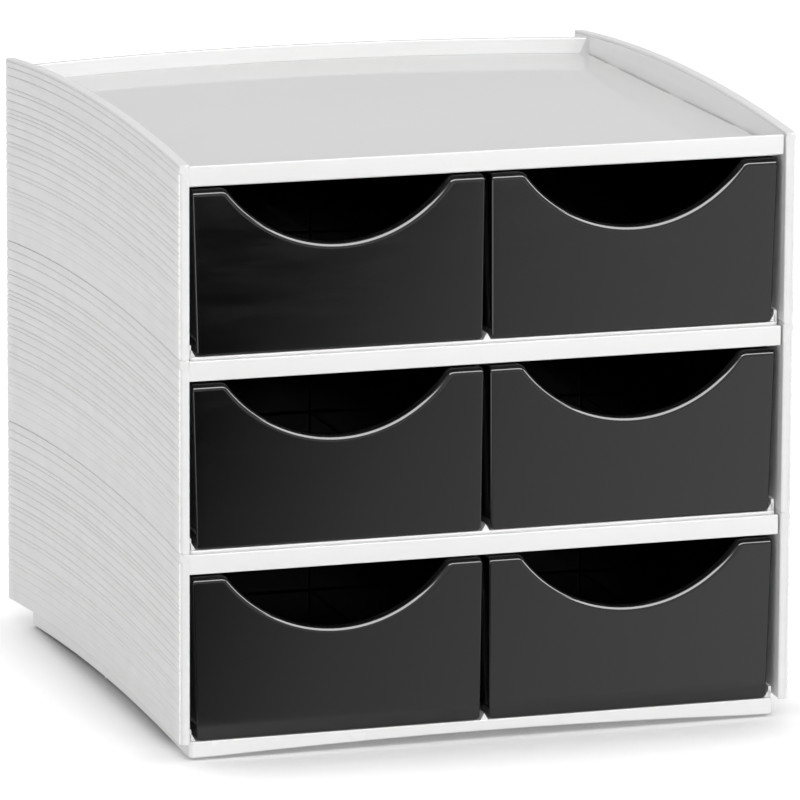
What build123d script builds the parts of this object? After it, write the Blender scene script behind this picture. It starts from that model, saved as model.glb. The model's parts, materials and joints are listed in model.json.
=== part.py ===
from build123d import *
import math
import os

os.makedirs("parts", exist_ok=True)

# Desk storage box of identical stacked modules with two drawers each, in millimetres, +Z up.
# X runs along the front, Y from the front to the back. The origin lies on the table, in the
# middle of the footprint.

# Whole box
module_names = ("lower", "middle", "upper")
overall_width = 280.0
overall_depth = 282.0
module_pitch = 84.8

# How far a cut reaches past the surface that it opens
cut_margin = 1.0

# Ribbed side panels
panel_wall = 4.8
panel_arch = 6.2
panel_foot_rise = 1.1
panel_seam = 0.3
panel_edge_radius = 0.9
panel_rim_radius = 0.5
groove_depth = 0.5
groove_width = 1.0
sheet_layers = (2, 2, 3, 1, 2, 2, 1, 1, 2, 2, 2, 1, 2, 2, 2, 1, 3, 1, 2, 1, 2, 2, 2, 3)

# Deck with its front strip and rear upstand
deck_floor = 2.0
recess_depth = 6.8
strip_wall = 2.6
strip_setback = 1.0
strip_top_radius = 1.0
strip_lower_radius = 0.6
side_gap = 0.9
rear_setback = 0.5
rear_bow = 19.0
rear_rim_rise = 0.8
rear_rim_wall = 2.5
rear_rim_radius = 0.8
rim_end_gap = 0.4
rim_notch_low = 3.6
rim_notch_high = 1.2
rim_bridge = 0.3
stop_rib_clearance = 0.8
stop_rib_wall = 1.6
stop_rib_inset = 4.4

# Base tray
base_lip = 1.1
base_plate = 2.0
base_wall = 1.8
skirt_lift = 0.6
front_arch = 2.4
side_arch = 4.0
arch_land = 8.0
base_front_radius = 2.0
nest_gap = 0.6
rear_nest_gap = 0.6
side_wall = 1.5
side_wall_rise = 4.4
gusset_width = 1.8
gusset_height = 3.0
centre_rib_width = 3.6
centre_rib_height = 3.0
stiffener_wall = 1.6
stiffener_drop = 2.6
stiffener_offset = 66.0

# Back wall and divider
back_wall = 2.0
back_inset = 0.4
divider_wall = 1.6
divider_setback = 15.0

# Tongues that hold the pieces together
tongue_length = 18.0
tongue_wall = 1.4
tongue_reach = 1.5
tongue_clearance = 0.15
side_tongue_pitch = 84.0
back_tongue_angle = 9.0
divider_tongue_pitch = 150.0

# Drawers
drawer_side_gap = 2.2
drawer_head_gap = 2.3
drawer_rear_gap = 5.4
drawer_wall = 1.8
drawer_draft = 1.2
drawer_divider_gap = 0.7
drawer_setback = 3.0
drawer_edge_radius = 0.8
drawer_bottom_radius = 2.0
drawer_inner_radius = 1.0
drawer_running_gap = 0.3
drawer_travel = 190.0
cutout_radius = 64.5
cutout_depth = 27.2
cutout_corner_radius = 4.5
rim_roll = 5.0
rim_thickness = 1.6
lug_length = 6.0
lug_head_clearance = 0.5
lug_stop_gap = 0.3
lug_root = 1.0

# Rubber feet
foot_diameter = 10.0
foot_proud = 0.4
foot_recess = 1.0
foot_inset = 20.0
boss_diameter = 14.0

# Places worked out from the sizes above, for a module that stands on z = 0
half_width = overall_width / 2
half_depth = overall_depth / 2
panel_inner = half_width - panel_wall
deck_half = panel_inner - side_gap
base_half = deck_half
base_height = recess_depth + base_lip
plate_bottom = base_height - base_plate
plate_middle = base_height - base_plate / 2
deck_top = module_pitch
deck_bottom = deck_top - deck_floor
strip_top = deck_top + recess_depth
rim_top = strip_top + rear_rim_rise
panel_low = recess_depth + panel_foot_rise
panel_high = panel_low + module_pitch - panel_seam
layer_height = (panel_high - panel_low) / sum(sheet_layers)
strip_front = -half_depth + strip_setback
strip_back = strip_front + strip_wall
base_front = strip_back + nest_gap
side_wall_front = base_front + base_front_radius
rear_edge = half_depth - rear_setback
bow_radius = (panel_inner**2 + rear_bow**2) / (2 * rear_bow)
bow_centre = rear_edge - bow_radius
base_rear_inset = rear_rim_wall + rear_nest_gap
back_outer_inset = base_rear_inset + back_inset
back_inner_inset = back_outer_inset + back_wall
stop_rib_front = strip_back + stop_rib_inset
stop_rib_back = stop_rib_front + stop_rib_wall
drawer_front = strip_front + drawer_setback
drawer_bottom = base_height + drawer_running_gap
drawer_top = deck_bottom - drawer_head_gap
drawer_height = drawer_top - drawer_bottom
drawer_gap = divider_wall + 2 * drawer_divider_gap
drawer_outer_x = panel_inner - drawer_side_gap
drawer_top_width = drawer_outer_x - drawer_gap / 2
drawer_centre_x = (drawer_gap + drawer_top_width) / 2
drawer_shrink = drawer_height * math.tan(math.radians(drawer_draft))
back_inner_radius = bow_radius - back_inner_inset
drawer_rear = bow_centre + math.sqrt(back_inner_radius**2 - drawer_outer_x**2) - drawer_rear_gap
divider_front = base_front + divider_setback
stop_rib_bottom = drawer_top + stop_rib_clearance
lug_front = stop_rib_back + drawer_travel + lug_stop_gap
lug_top = deck_bottom - lug_head_clearance


def arch_height(y, rise):
    """Height of an arch of the full depth above its own ends, at the place y."""
    radius = (half_depth**2 + rise**2) / (2 * rise)
    return math.sqrt(radius**2 - y**2) - (radius - rise)


def arch_edge(front, rear, level, rise):
    """Arc in the side view from front to rear, level at the panel's ends."""
    middle = (front + rear) / 2
    points = [(y, level + arch_height(y, rise)) for y in (front, middle, rear)]
    return ThreePointArc(*points)


def side_profile(front, rear, low, low_rise, high, high_rise):
    """Face in the side view between two arched edges."""
    lower = arch_edge(front, rear, low, low_rise)
    upper = arch_edge(front, rear, high, high_rise)
    front_line = Line(lower @ 0, upper @ 0)
    rear_line = Line(lower @ 1, upper @ 1)
    return make_face([lower, rear_line, upper, front_line])


def across(profile, x_from, x_to):
    """Solid of a side-view profile between two places along X."""
    placed = Plane.YZ.offset(x_from) * profile
    return extrude(placed, amount=x_to - x_from, dir=(1, 0, 0))


def drawn_back(profile, front, rear):
    """Solid of a front-view profile between two places along Y."""
    return extrude(Plane.XZ.offset(-front) * profile, amount=rear - front, dir=(0, 1, 0))


def block(x_from, x_to, y_from, y_to, z_from, z_to):
    """Box given by its limits."""
    centre = ((x_from + x_to) / 2, (y_from + y_to) / 2, (z_from + z_to) / 2)
    return Pos(*centre) * Box(x_to - x_from, y_to - y_from, z_to - z_from)


def bow_end(half, inset):
    """Place along Y where the bowed rear line, moved inwards by inset, meets x = half."""
    return bow_centre + math.sqrt((bow_radius - inset) ** 2 - half**2)


def plan_profile(half, front, inset):
    """Face in the plan view: straight front and sides, and the bowed rear line."""
    end = bow_end(half, inset)
    rear = ThreePointArc((half, end), (0, bow_centre + bow_radius - inset), (-half, end))
    left = Line((-half, end), (-half, front))
    near = Line((-half, front), (half, front))
    right = Line((half, front), (half, end))
    return make_face([rear, left, near, right])


def slab(profile, z_from, z_to):
    """Solid of a plan-view profile between two heights."""
    return extrude(Pos(0, 0, z_from) * profile, amount=z_to - z_from)


def bowed_strip(half, front, outer_inset, inner_inset, z_from, z_to):
    """Wall that follows the bowed rear line."""
    outer = slab(plan_profile(half, front, outer_inset), z_from, z_to)
    inner = slab(plan_profile(half + cut_margin, front - cut_margin, inner_inset), z_from, z_to)
    return outer - inner


def side_tongues(level, grow):
    """Tongues on the right edge of a deck or base; level gives their middle for each y."""
    pieces = []
    for step in (-1, 0, 1):
        y = step * side_tongue_pitch
        half_length = tongue_length / 2 + grow
        half_wall = tongue_wall / 2 + grow
        z = level(y)
        reach = panel_inner + tongue_reach + grow
        start = deck_half - base_wall / 2
        pieces.append(block(start, reach, y - half_length, y + half_length, z - half_wall, z + half_wall))
    return pieces


def deck_tongue_level(y):
    """The deck's tongues lie in the middle of its floor."""
    return deck_top - deck_floor / 2


def base_tongue_level(y):
    """The base's tongues follow the arched lower edge of the panel."""
    return panel_low + arch_height(y, panel_arch) + side_wall_rise / 2


def back_tongues(z_from, z_to, grow):
    """Tongues above or below the bowed back wall."""
    pieces = []
    for step in (-1, 0, 1):
        radius = bow_radius - back_outer_inset - back_wall / 2
        tongue = Box(tongue_length + 2 * grow, tongue_wall + 2 * grow, z_to - z_from)
        placed = Pos(0, radius, (z_from + z_to) / 2) * tongue
        pieces.append(Pos(0, bow_centre, 0) * Rot(0, 0, step * back_tongue_angle) * placed)
    return pieces


def divider_tongues(z_from, z_to, grow):
    """Tongues above or below the divider."""
    half_length = tongue_length / 2 + grow
    half_wall = divider_wall / 2 - tongue_clearance + grow
    pieces = []
    for step in (-1, 1):
        y = step * divider_tongue_pitch / 2
        pieces.append(block(-half_wall, half_wall, y - half_length, y + half_length, z_from, z_to))
    return pieces


def both_sides(pieces):
    """The pieces and their mirror images on the other side."""
    return list(pieces) + [mirror(piece, about=Plane.YZ) for piece in pieces]


def make_panel():
    """Right side panel: arched plate with grooves on its outer face and slots inside."""
    profile = side_profile(-half_depth, half_depth, panel_low, panel_arch, panel_high, panel_arch)
    panel = across(profile, panel_inner, half_width)
    upright = panel.edges().filter_by(Axis.Z)
    panel = fillet(upright, panel_edge_radius)
    rims = panel.faces().sort_by(Axis.Z)[-1].edges()
    panel = fillet(rims, panel_rim_radius)

    radius = (half_depth**2 + panel_arch**2) / (2 * panel_arch)
    sweep_angle = 2 * math.degrees(math.asin(half_depth / radius)) + 1
    depth = 0.0
    grooves = []
    for layers in sheet_layers[:-1]:
        depth += layers * layer_height
        crown = panel_high + panel_arch - depth
        mouth = half_width + groove_depth
        points = [
            (mouth, crown + groove_width),
            (half_width - groove_depth, crown),
            (mouth, crown - groove_width),
        ]
        notch = Plane.XZ * make_face(Polyline(*points, close=True))
        axis = Axis((0, 0, crown - radius), (1, 0, 0))
        start = notch.rotate(axis, -sweep_angle / 2)
        grooves.append(revolve(start, axis, revolution_arc=sweep_angle))
    panel = panel - grooves

    slots = side_tongues(deck_tongue_level, tongue_clearance)
    slots += side_tongues(base_tongue_level, tongue_clearance)
    return panel - slots


def make_deck():
    """Deck: floor, front strip, rear upstand, stop rib and tongues."""
    floor = slab(plan_profile(deck_half, strip_front, 0), deck_bottom, deck_top)
    strip = block(-deck_half, deck_half, strip_front, strip_back, deck_bottom, strip_top)
    strip = fillet(strip.edges().filter_by(Axis.X).group_by(Axis.Z)[-1], strip_top_radius)
    lower_front = strip.edges().filter_by(Axis.X).group_by(Axis.Z)[0].sort_by(Axis.Y)[0]
    strip = fillet(lower_front, strip_lower_radius)
    shave = block(-deck_half, deck_half, strip_front, strip_back, deck_bottom, deck_top)
    deck = (floor - shave) + strip

    centre = (rear_edge - rear_rim_wall / 2, (deck_bottom + rim_top) / 2)
    section = Pos(*centre) * Rectangle(rear_rim_wall, rim_top - deck_bottom)
    section = fillet(section.vertices().group_by(Axis.Y)[-1], rear_rim_radius)
    half_angle = math.degrees(math.asin((deck_half - rim_end_gap) / bow_radius))
    bow_axis = Axis((0, bow_centre, 0), (0, 0, 1))
    start = (Plane.YZ * section).rotate(bow_axis, -half_angle)
    rim = revolve(start, bow_axis, revolution_arc=2 * half_angle)
    notch_top = rim_top - rear_rim_radius - rim_bridge
    notch_side = deck_half + cut_margin
    notch_foot = deck_bottom - cut_margin
    points = [
        (deck_half - rim_notch_low, notch_foot),
        (deck_half - rim_notch_low, deck_top),
        (deck_half - rim_notch_high, notch_top),
        (notch_side, notch_top),
        (notch_side, notch_foot),
    ]
    notch = make_face(Polyline(*points, close=True))
    notch = drawn_back(notch, bow_end(deck_half, rear_rim_wall), half_depth)
    deck = (deck + rim) - both_sides([notch])

    rib = block(-deck_half, deck_half, stop_rib_front, stop_rib_back, stop_rib_bottom, deck_bottom)
    deck = deck + rib + both_sides(side_tongues(deck_tongue_level, 0))

    pocket_top = deck_bottom + tongue_reach / 2 + tongue_clearance
    pockets = back_tongues(deck_bottom, pocket_top, tongue_clearance)
    pockets += divider_tongues(deck_bottom, pocket_top, tongue_clearance)
    return deck - pockets


def arch_cut(start, end, level, rise):
    """Face under an arch that spans from start to end and stands on a level."""
    arch = ThreePointArc((start, level), ((start + end) / 2, level + rise), (end, level))
    return make_face([arch, Line((start, level), (end, level))])


def make_side_wall():
    """Low wall on the right edge of the base, with an arched top and a gusset at its foot."""
    side_end = bow_end(base_half, base_rear_inset)
    top = arch_edge(side_wall_front, side_end, panel_low + side_wall_rise, panel_arch)
    foot_line = Line((side_wall_front, plate_middle), (side_end, plate_middle))
    profile = make_face([top, Line(top @ 0, foot_line @ 0), foot_line, Line(foot_line @ 1, top @ 1)])
    inner_face = base_half - side_wall
    wall = across(profile, inner_face, base_half)

    wall_middle = base_half - side_wall / 2
    points = [
        (wall_middle, plate_middle),
        (inner_face - gusset_width, plate_middle),
        (inner_face - gusset_width, base_height),
        (inner_face, base_height + gusset_height),
        (wall_middle, base_height + gusset_height),
    ]
    gusset_rear = bow_end(base_half, back_inner_inset) - back_inset
    return wall + drawn_back(make_face(Polyline(*points, close=True)), side_wall_front, gusset_rear)


def make_base():
    """Base tray: plate, arched skirts, side walls, centre rib, stiffeners, bosses and tongues."""
    outline = plan_profile(base_half, base_front, base_rear_inset)
    body = slab(outline, skirt_lift, base_height)
    front_uprights = body.edges().filter_by(Axis.Z).group_by(Axis.Y)[0]
    body = fillet(front_uprights, base_front_radius)
    inner = plan_profile(base_half - base_wall, base_front + base_wall, base_rear_inset + base_wall)
    base = body - slab(inner, 0, plate_bottom)

    side_end = bow_end(base_half, base_rear_inset)
    side_cut = arch_cut(base_front + arch_land, side_end - arch_land, skirt_lift, side_arch)
    front_cut = arch_cut(arch_land - base_half, base_half - arch_land, skirt_lift, front_arch)
    base = base - across(side_cut, -half_width, half_width) - drawn_back(front_cut, -half_depth, half_depth)
    base = base + both_sides([make_side_wall()])

    ridge = [
        (-centre_rib_width / 2, plate_middle),
        (-centre_rib_width / 2, base_height),
        (0, base_height + centre_rib_height),
        (centre_rib_width / 2, base_height),
        (centre_rib_width / 2, plate_middle),
    ]
    base = base + drawn_back(make_face(Polyline(*ridge, close=True)), base_front, divider_front)

    stiffener_bottom = plate_bottom - stiffener_drop
    half_rib = stiffener_wall / 2
    rib_rear = bow_end(stiffener_offset, base_rear_inset + base_wall / 2)
    rib_front = base_front + base_wall / 2
    for x in (-stiffener_offset, 0, stiffener_offset):
        base = base + block(x - half_rib, x + half_rib, rib_front, rib_rear, stiffener_bottom, plate_bottom)
    reach = base_half - base_wall / 2
    base = base + block(-reach, reach, -half_rib, half_rib, stiffener_bottom, plate_bottom)

    for x, y in foot_places():
        base = base + Pos(x, y, plate_bottom / 2) * Cylinder(boss_diameter / 2, plate_bottom)
        base = base - Pos(x, y, foot_recess / 2) * Cylinder(foot_diameter / 2 + tongue_clearance, foot_recess)

    base = base + both_sides(side_tongues(base_tongue_level, 0))
    slot_bottom = base_height - tongue_reach - tongue_clearance
    slots = back_tongues(slot_bottom, base_height, tongue_clearance)
    slots += divider_tongues(slot_bottom, base_height, tongue_clearance)
    return base - slots


def foot_places():
    """Places of the four feet, in from the corners of the base."""
    rear = bow_end(base_half, base_rear_inset) - foot_inset
    x = base_half - foot_inset
    return [(-x, base_front + foot_inset), (x, base_front + foot_inset), (-x, rear), (x, rear)]


def make_feet():
    """Four rubber feet, each in the recess of its boss."""
    height = foot_recess + foot_proud
    foot = Pos(0, 0, foot_recess - height / 2) * Cylinder(foot_diameter / 2, height)
    return [Pos(x, y, 0) * foot for x, y in foot_places()]


def make_back():
    """Bowed back wall between the base and the deck, with tongues above and below."""
    half = base_half - base_wall - back_inset
    wall = bowed_strip(half, 0, back_outer_inset, back_inner_inset, base_height, deck_bottom)
    wall = wall + back_tongues(base_height - tongue_reach, base_height, 0)
    return wall + back_tongues(deck_bottom, deck_bottom + tongue_reach / 2, 0)


def make_divider():
    """Wall between the two drawers, from behind their fronts to the back wall."""
    rear = bow_centre + bow_radius - back_inner_inset - tongue_clearance
    half = divider_wall / 2
    wall = block(-half, half, divider_front, rear, base_height, deck_bottom)
    wall = wall + divider_tongues(base_height - tongue_reach, base_height, 0)
    return wall + divider_tongues(deck_bottom, deck_bottom + tongue_reach / 2, 0)


def drawer_section(inset, top, radius):
    """Front view of a drafted tub, moved inwards by inset, with round lower corners."""
    half_top = drawer_top_width / 2 - inset
    half_low = half_top - drawer_shrink
    low = drawer_bottom + inset
    corners = [(-half_low, low), (half_low, low), (half_top, top), (-half_top, top)]
    plate = make_face(Polyline(*corners, close=True))
    return fillet(plate.vertices().group_by(Axis.Y)[0], radius)


def drawer_outline(inset):
    """Front view of a drawer with its round cut-out, all edges moved inwards by inset."""
    plate = drawer_section(inset, drawer_top - inset, drawer_bottom_radius - inset)
    circle_z = drawer_top - cutout_depth + cutout_radius
    plate = plate - Pos(0, circle_z) * Circle(cutout_radius + inset)
    brow = plate.vertices().group_by(Axis.Y)[-1].sort_by(Axis.X)[1:3]
    return fillet(brow, cutout_corner_radius - inset)


def make_drawer():
    """One-piece drawer, in the middle of the box: tub, front with cut-out, rolled rim and stop lugs."""
    outer = drawn_back(drawer_section(0, drawer_top, drawer_bottom_radius), drawer_front, drawer_rear)
    ends = outer.faces().sort_by(Axis.Y)
    edges = ends[0].edges().sort_by(Axis.Z)[:-1] + ends[-1].edges().sort_by(Axis.Z)[:-1]
    outer = fillet(edges, drawer_edge_radius)
    cavity = drawer_section(drawer_wall, drawer_top, drawer_inner_radius)
    tub = outer - drawn_back(cavity, drawer_front + drawer_wall, drawer_rear - drawer_wall)

    zone_front = drawer_front - cut_margin
    zone_rear = drawer_front + 2 * rim_roll
    front_zone = block(-half_width, half_width, zone_front, zone_rear, 0, drawer_top + cut_margin)
    tub = tub - (front_zone - drawn_back(drawer_outline(0), zone_front, zone_rear))

    band = drawer_outline(0) - drawer_outline(rim_thickness)
    roll = drawn_back(band, drawer_front, drawer_front + rim_roll) & outer
    tub = tub + roll

    lug_x = drawer_top_width / 2 - drawer_wall
    lug_rear = lug_front + lug_length
    lug = block(lug_x, lug_x + drawer_wall, lug_front, lug_rear, drawer_top - lug_root, lug_top)
    return tub + both_sides([lug])


def save(shape, name):
    """Write one node, raised so that the feet stand on z = 0."""
    export_step(Pos(0, 0, foot_proud) * shape, f"parts/{name}.step")


deck = make_deck()
base = make_base()
back = make_back()
divider = make_divider()
right_panel = make_panel()
left_panel = mirror(right_panel, about=Plane.YZ)
drawer = make_drawer()

for level, name in enumerate(module_names):
    lift = Pos(0, 0, level * module_pitch)
    save(lift * base, f"base_{name}")
    save(lift * deck, f"deck_{name}")
    save(lift * back, f"back_wall_{name}")
    save(lift * divider, f"divider_{name}")
    save(lift * left_panel, f"left_panel_{name}")
    save(lift * right_panel, f"right_panel_{name}")
    save(lift * Pos(-drawer_centre_x, 0, 0) * drawer, f"drawer_{name}_left")
    save(lift * Pos(drawer_centre_x, 0, 0) * drawer, f"drawer_{name}_right")

save(Compound(make_feet()), "feet")
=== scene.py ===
import json
import math

import bmesh
import bpy
from mathutils import Matrix, Vector


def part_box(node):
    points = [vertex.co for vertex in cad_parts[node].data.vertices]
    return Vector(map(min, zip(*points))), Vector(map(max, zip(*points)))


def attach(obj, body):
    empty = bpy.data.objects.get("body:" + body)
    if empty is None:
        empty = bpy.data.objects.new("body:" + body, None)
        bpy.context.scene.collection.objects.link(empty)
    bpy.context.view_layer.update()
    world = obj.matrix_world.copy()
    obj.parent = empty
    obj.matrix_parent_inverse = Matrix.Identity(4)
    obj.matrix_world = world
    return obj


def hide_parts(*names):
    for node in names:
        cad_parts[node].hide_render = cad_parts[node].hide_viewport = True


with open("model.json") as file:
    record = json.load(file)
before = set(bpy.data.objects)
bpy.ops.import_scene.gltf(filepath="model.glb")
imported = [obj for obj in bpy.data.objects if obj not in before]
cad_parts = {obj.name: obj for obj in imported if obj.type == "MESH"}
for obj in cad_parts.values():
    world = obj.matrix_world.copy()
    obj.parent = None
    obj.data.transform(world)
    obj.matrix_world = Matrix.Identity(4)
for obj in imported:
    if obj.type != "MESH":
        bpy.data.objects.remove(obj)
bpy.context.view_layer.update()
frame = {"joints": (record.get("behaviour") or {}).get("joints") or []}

# Desk storage box of three stacked modules with two black drawers each, in metres.
# X runs along the front, Y from the front to the back, Z up from the table.

module_names = ("lower", "middle", "upper")
side_signs = {"left": -1, "right": 1}

# Meshes: merging, bevels, shading and the steps along the long lines
doubles_distance = 1e-7
bevel_angle = math.radians(40)
bevel_segments = 2
sharp_angle = math.radians(38)
front_steps = 24
side_steps = 40
bow_steps = 44
rear_steps = 48
wall_steps = 36
disc_steps = 48

# Ribbed side panels
panel_arch = 0.0062
panel_foot_rise = 0.0011
panel_edge_radius = 0.0009
panel_outer_radius = 0.0014
panel_rim_radius = 0.0005
open_rim_radius = 0.0006
rim_share = 0.45
bead_height = 0.0011
bead_groove_width = 0.0005
bead_groove_depth = 0.0004
bead_groove_share = 0.2
sheet_layers = (2, 2, 3, 1, 2, 2, 1, 1, 2, 2, 2, 1, 2, 2, 2, 1, 3, 1, 2, 1, 2, 2, 2, 3)
sheet_depth = 0.0017
sheet_edge_radius = 0.00075
sheet_slip = 0.00004
sheet_stations = 49
merge_at_foot = 0.00028
merge_power = 4
sheet_margin = 0.00005
seam_cover = 0.0002
panel_end_inset = 0.0009
strip_height = 0.003
slip_seed = 7

# Decks
deck_floor = 0.002
recess_depth = 0.0068
strip_wall = 0.0026
strip_setback = 0.001
strip_top_radius = 0.0006
strip_lower_radius = 0.0006
strip_end_radius = 0.0003
strip_overhangs = (0.0009, 0.0)
side_gap = 0.0009
rear_bow = 0.019
rear_rim_wall = 0.0025
rear_rim_radius = 0.0008
rim_foot_gap = 0.0004
rim_end_gap = 0.0004
rim_notch = 0.0036
stop_rib_wall = 0.0016
stop_rib_inset = 0.0044
corner_fillet = 0.0008

# Base trays
base_lip = 0.0011
base_plate = 0.002
base_wall = 0.0018
skirt_lift = 0.0006
front_arch = 0.0024
side_arch = 0.004
arch_land = 0.008
base_corner_radius = 0.002
base_least_radius = 0.0004
base_edge_radius = 0.0005
nest_gap = 0.0006
rear_nest_gap = 0.0006
side_wall = 0.0015
side_wall_rise = 0.0044
side_wall_gap = 0.00003
gusset_width = 0.0018
gusset_height = 0.003
centre_rib_width = 0.0036
centre_rib_height = 0.003
centre_rib_length = 0.015
stiffener_wall = 0.0016
stiffener_drop = 0.0026
stiffener_offset = 0.066
boss_diameter = 0.014
foot_diameter = 0.010
foot_edge_radius = 0.0004

# Tongues that hold the pieces together
tongue_length = 0.018
tongue_wall = 0.0014
tongue_reach = 0.0015
side_tongue_pitch = 0.084

# Back walls and dividers
back_wall = 0.002
back_inset = 0.0004
thin_edge_radius = 0.0003
divider_setback = 0.008

# Drawers
drawer_wall = 0.0018
drawer_draft = math.radians(1.1)
drawer_lean = math.radians(0.6)
drawer_edge_radius = 0.0008
drawer_least_radius = 0.0003
drawer_bottom_radius = 0.002
drawer_inner_radius = 0.001
cutout_radius = 0.0618
cutout_depth = 0.026
cutout_corner_radius = 0.0045
rim_roll = 0.005
rim_thickness = 0.0016
rim_edge_radius = 0.0028
side_rim_radius = 0.0011
rim_back_radius = 0.0005
lug_length = 0.006
lug_height = 0.0018
lug_root = 0.001
lug_stop_gap = 0.0003

# Places read from the frame
panel_low, panel_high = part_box("right_panel_lower")
deck_low, deck_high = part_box("deck_lower")
base_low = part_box("base_lower")[0]
module_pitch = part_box("base_middle")[0].z - base_low.z
half_width = panel_high.x
half_depth = panel_high.y
panel_inner = panel_low.x
deck_half = panel_inner - side_gap
module_floor = base_low.z
deck_top = module_floor + module_pitch
deck_bottom = deck_top - deck_floor
strip_top = deck_top + recess_depth
rim_top = deck_high.z
strip_front = -half_depth + strip_setback
strip_back = strip_front + strip_wall
base_front = strip_back + nest_gap
base_top = module_floor + recess_depth + base_lip
plate_bottom = base_top - base_plate
panel_foot = module_floor + recess_depth + panel_foot_rise
base_inset = rear_rim_wall + rear_nest_gap
rear_edge = deck_high.y
bow_radius = (panel_inner**2 + rear_bow**2) / (2 * rear_bow)
bow_centre = rear_edge - bow_radius


def arc_points(centre, radius, start, end, count):
    """Points on an arc in a plane, angles in degrees."""
    points = []
    for step in range(count + 1):
        angle = math.radians(start + (end - start) * step / count)
        points.append((centre[0] + radius * math.cos(angle), centre[1] + radius * math.sin(angle)))
    return points


def spread(start, end, count):
    """Evenly spaced values from start to end."""
    return [start + (end - start) * step / count for step in range(count + 1)]


def arch_height(y, rise):
    """Height of the panels' arch above its own ends, at the place y."""
    radius = (half_depth**2 + rise**2) / (2 * rise)
    return math.sqrt(radius**2 - y**2) - (radius - rise)


def bow_line(x, inset):
    """Place along Y of the bowed rear line, moved inwards by inset, at the place x."""
    return bow_centre + math.sqrt((bow_radius - inset) ** 2 - x**2)


def rounding(back, radius):
    """How far a rounded edge has moved in from its face at a distance behind its tip."""
    rest = max(0.0, radius - back)
    return radius - math.sqrt(radius**2 - rest**2)


def loft(rings):
    """Closed shell through rings of equally many points."""
    count = len(rings[0])
    corners = [Vector(point) for ring in rings for point in ring]
    faces = []
    for level in range(len(rings) - 1):
        low = level * count
        high = low + count
        for step in range(count):
            after = (step + 1) % count
            faces.append((low + step, low + after, high + after, high + step))
    faces.append(tuple(range(count))[::-1])
    faces.append(tuple(range((len(rings) - 1) * count, len(rings) * count)))
    return corners, faces


def block(low, high):
    """Closed box given by two opposite corners."""
    rings = []
    for z in (low[2], high[2]):
        rings.append([(low[0], low[1], z), (high[0], low[1], z), (high[0], high[1], z), (low[0], high[1], z)])
    return loft(rings)


def add_shell(form, shell, bevel):
    """Add one closed shell to a form: doubles merged, faces outwards, sharp edges bevelled."""
    corners, faces = shell
    part = bmesh.new()
    points = [part.verts.new(corner) for corner in corners]
    for face in faces:
        part.faces.new([points[index] for index in face])
    bmesh.ops.remove_doubles(part, verts=part.verts, dist=doubles_distance)
    bmesh.ops.recalc_face_normals(part, faces=part.faces)
    if bevel:
        sharp = [edge for edge in part.edges if edge.calc_face_angle(0) > bevel_angle]
        bmesh.ops.bevel(part, geom=sharp, offset=bevel, segments=bevel_segments, profile=0.5, affect="EDGES")
    store = mesh_of(part, "shell")
    form.from_mesh(store)
    bpy.data.meshes.remove(store)


def mesh_of(form, name):
    """Mesh of a form, which is freed."""
    mesh = bpy.data.meshes.new(name)
    form.to_mesh(mesh)
    form.free()
    return mesh


def new_object(name, data):
    """New object in the scene."""
    item = bpy.data.objects.new(name, data)
    bpy.context.scene.collection.objects.link(item)
    return item


def finish_mesh(mesh, material):
    """Object of a mesh with smooth faces, sharp edges kept and normals led by the large faces."""
    mesh.shade_smooth()
    mesh.set_sharp_from_angle(angle=sharp_angle)
    mesh.materials.clear()
    mesh.materials.append(material)
    piece = new_object(mesh.name, mesh)
    normals = piece.modifiers.new("even shading", "WEIGHTED_NORMAL")
    normals.keep_sharp = True
    return piece


def seat(piece, body, node):
    """The piece moves with its body and stands for its node, which is hidden."""
    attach(piece, body)
    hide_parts(node)


def with_bevel(shells, bevel=thin_edge_radius):
    """Pairs of a shell and the bevel of its sharp edges."""
    return [(shell, bevel) for shell in shells]


def lifted(parts, height):
    """The shells of the pairs moved up by a height."""
    raised = Vector((0, 0, height))
    return [(([corner + raised for corner in corners], faces), bevel) for (corners, faces), bevel in parts]


def make_piece(name, parts, material, body, node):
    """Piece that stands for a node, from pairs of a closed shell and its bevel."""
    form = bmesh.new()
    for shell, bevel in parts:
        add_shell(form, shell, bevel)
    seat(finish_mesh(mesh_of(form, name), material), body, node)


def white_piece(node, parts, material):
    """White piece of the housing."""
    make_piece("white_" + node, parts, material, "housing", node)


# Node trees


def connect(tree, node_type, links=(), **settings):
    """New node with its settings and the sockets that feed it."""
    node = tree.nodes.new(node_type)
    for key, value in settings.items():
        setattr(node, key, value)
    for socket, source in links:
        if hasattr(source, "is_output"):
            tree.links.new(source, node.inputs[socket])
        else:
            node.inputs[socket].default_value = source
    return node


def output(tree, node_type, links=(), **settings):
    """First output of a new node."""
    return connect(tree, node_type, links, **settings).outputs[0]


def calculate(tree, operation, first, second=0.0):
    """Output of one Math node."""
    return output(tree, "ShaderNodeMath", [(0, first), (1, second)], operation=operation)


def product(tree, first, second):
    """Product of two values."""
    return calculate(tree, "MULTIPLY", first, second)


def mapped(tree, value, span, low=0.0, high=1.0):
    """Number that runs from low to high while the value runs through its span."""
    limits = [("From Min", span[0]), ("From Max", span[1]), ("To Min", low), ("To Max", high)]
    return output(tree, "ShaderNodeMapRange", [("Value", value)] + limits)


def coordinates(tree, kind):
    """X, Y and Z of one kind of texture coordinate."""
    source = tree.nodes.new("ShaderNodeTexCoord").outputs[kind]
    return connect(tree, "ShaderNodeSeparateXYZ", [(0, source)]).outputs


# Materials

polished_white = 0.82
deck_roughness = 0.07
shell_roughness = 0.22
side_tone = 0.745
# Painted light: the ribbed sides' up-facing tops take this paler tone.
side_painted_top_tone = 0.86
# Painted highlight: pointed edges of the ribbed sides take this lighter tone.
side_painted_highlight_tone = 0.93
tint_span = (0.35, 0.65)
noise_span = (0.3, 0.7)
wear_and_highlight_span = (0.52, 0.62)
upward_span = (0.88, 0.99)


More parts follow.
